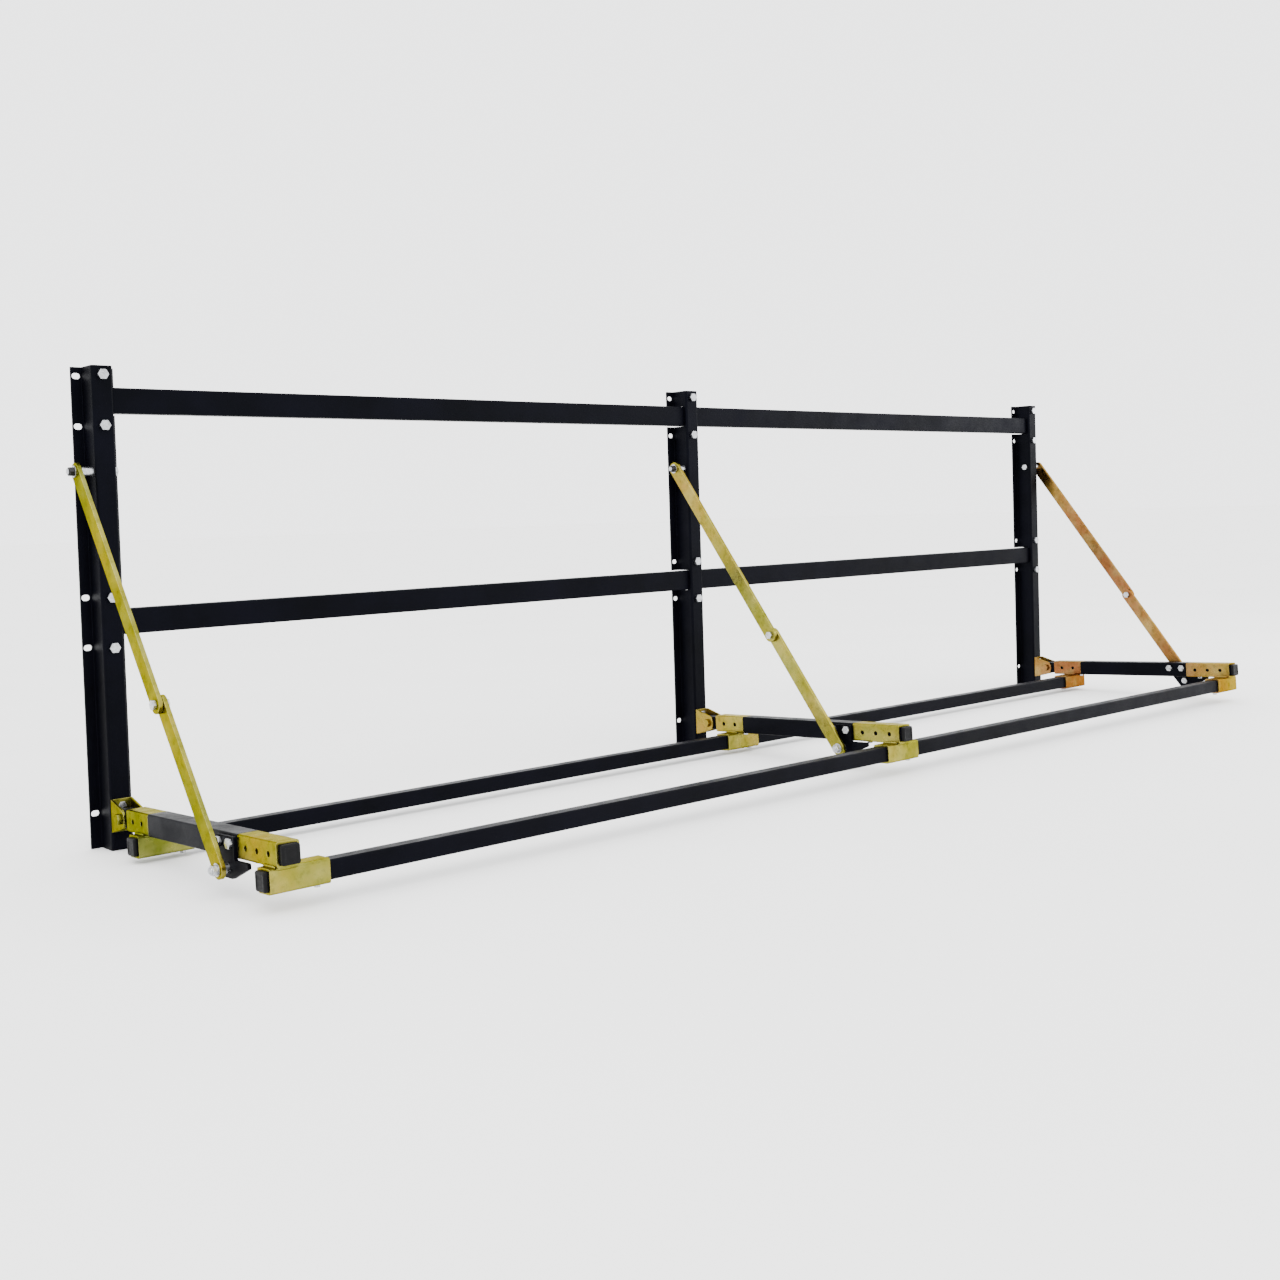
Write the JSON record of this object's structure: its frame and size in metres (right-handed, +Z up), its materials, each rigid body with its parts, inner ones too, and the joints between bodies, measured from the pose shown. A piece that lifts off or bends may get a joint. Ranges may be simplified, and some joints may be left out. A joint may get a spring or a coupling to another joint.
{
  "type": "ladder rack",
  "caption": "Fold-up wall rack for ladders: hat-section posts joined by rails, and a hinged shelf of square arms and long tubes hung from folding stays.",
  "frame": {"origin": "centre between the middle post's two foot slots, on the wall plane", "axes": "+X along the rack towards the post whose stay is on its outer side at the right; +Z up; the wall is the plane Y = 0 and the rack stands out from it along -Y"},
  "size_m": [2.4934, 0.5568, 0.7112],
  "materials": {
    "powder_coat": "semi-gloss black powder coat on steel",
    "yellow_zinc": "yellow zinc plate on steel",
    "bright_zinc": "clear zinc plate on steel",
    "black_nut": "black oxide on steel",
    "cap_plastic": "moulded black plastic"
  },
  "bodies": {
    "frame": {"post_left": "powder_coat", "post_middle": "powder_coat", "post_right": "powder_coat", "rail_top": "powder_coat", "rail_middle": "powder_coat", "rail_bolts": "bright_zinc", "rail_nuts": "bright_zinc", "hinge_bracket_left": "yellow_zinc", "hinge_bracket_middle": "yellow_zinc", "hinge_bracket_right": "yellow_zinc", "hinge_bracket_screws": "bright_zinc", "hinge_bracket_nuts": "bright_zinc", "hinge_pins": "yellow_zinc", "hinge_pin_nuts": "bright_zinc", "stay_top_bolts": "bright_zinc", "stay_top_spacers": "bright_zinc", "stay_top_nuts": "black_nut"},
    "shelf": {"arm_left": "powder_coat", "arm_middle": "powder_coat", "arm_right": "powder_coat", "arm_stiffener_left": "powder_coat", "arm_stiffener_middle": "powder_coat", "arm_stiffener_right": "powder_coat", "tube_inner": "powder_coat", "tube_front": "powder_coat", "crossing_inner_left": "yellow_zinc", "crossing_inner_middle": "yellow_zinc", "crossing_inner_right": "yellow_zinc", "crossing_outer_left": "yellow_zinc", "crossing_outer_middle": "yellow_zinc", "crossing_outer_right": "yellow_zinc", "sleeve_screws": "bright_zinc", "arm_end_caps": "cap_plastic", "tube_inner_caps": "cap_plastic", "tube_front_caps": "cap_plastic", "stay_lug_left": "powder_coat", "stay_lug_middle": "powder_coat", "stay_lug_right": "powder_coat", "lug_bolts": "bright_zinc", "lug_nuts": "bright_zinc", "stay_foot_bolts": "bright_zinc", "stay_foot_spacers": "bright_zinc", "stay_foot_nuts": "bright_zinc"},
    "upper_stay_left": {"stay_upper_left": "yellow_zinc", "knuckle_bolt_left": "bright_zinc"},
    "lower_stay_left": {"stay_lower_left": "yellow_zinc", "knuckle_nut_left": "bright_zinc"},
    "upper_stay_middle": {"stay_upper_middle": "yellow_zinc", "knuckle_bolt_middle": "bright_zinc"},
    "lower_stay_middle": {"stay_lower_middle": "yellow_zinc", "knuckle_nut_middle": "bright_zinc"},
    "upper_stay_right": {"stay_upper_right": "yellow_zinc", "knuckle_bolt_right": "bright_zinc"},
    "lower_stay_right": {"stay_lower_right": "yellow_zinc", "knuckle_nut_right": "bright_zinc"}
  },
  "joints": [
    {"name": "shelf_fold", "type": "hinge", "parent": "frame", "child": "shelf", "pos_m": [0, -0.075, 0], "axis": [-1, 0, 0], "range_deg": [0, 87.5]},
    {"name": "upper_stay_left_turn", "type": "hinge", "parent": "frame", "child": "upper_stay_left", "pos_m": [-1.23253, -0.028, 0.505], "axis": [1, 0, 0], "range_deg": [0, 31.55]},
    {"name": "lower_stay_left_turn", "type": "hinge", "parent": "shelf", "child": "lower_stay_left", "pos_m": [-1.22568, -0.42589, -0.01271], "axis": [-1, 0, 0], "range_deg": [0, 47.4]},
    {"name": "upper_stay_middle_turn", "type": "hinge", "parent": "frame", "child": "upper_stay_middle", "pos_m": [-0.03873, -0.028, 0.505], "axis": [1, 0, 0], "range_deg": [0, 31.55]},
    {"name": "lower_stay_middle_turn", "type": "hinge", "parent": "shelf", "child": "lower_stay_middle", "pos_m": [-0.03188, -0.42589, -0.01271], "axis": [-1, 0, 0], "range_deg": [0, 47.4]},
    {"name": "upper_stay_right_turn", "type": "hinge", "parent": "frame", "child": "upper_stay_right", "pos_m": [1.23253, -0.028, 0.505], "axis": [1, 0, 0], "range_deg": [0, 31.55]},
    {"name": "lower_stay_right_turn", "type": "hinge", "parent": "shelf", "child": "lower_stay_right", "pos_m": [1.22568, -0.42589, -0.01271], "axis": [-1, 0, 0], "range_deg": [0, 47.4]}
  ],
  "couplings": [
    {"joint": "upper_stay_left_turn", "follows": "shelf_fold", "ratio": 0.36051},
    {"joint": "lower_stay_left_turn", "follows": "shelf_fold", "ratio": 0.54162},
    {"joint": "upper_stay_middle_turn", "follows": "shelf_fold", "ratio": 0.36051},
    {"joint": "lower_stay_middle_turn", "follows": "shelf_fold", "ratio": 0.54162},
    {"joint": "upper_stay_right_turn", "follows": "shelf_fold", "ratio": 0.36051},
    {"joint": "lower_stay_right_turn", "follows": "shelf_fold", "ratio": 0.54162}
  ]
}
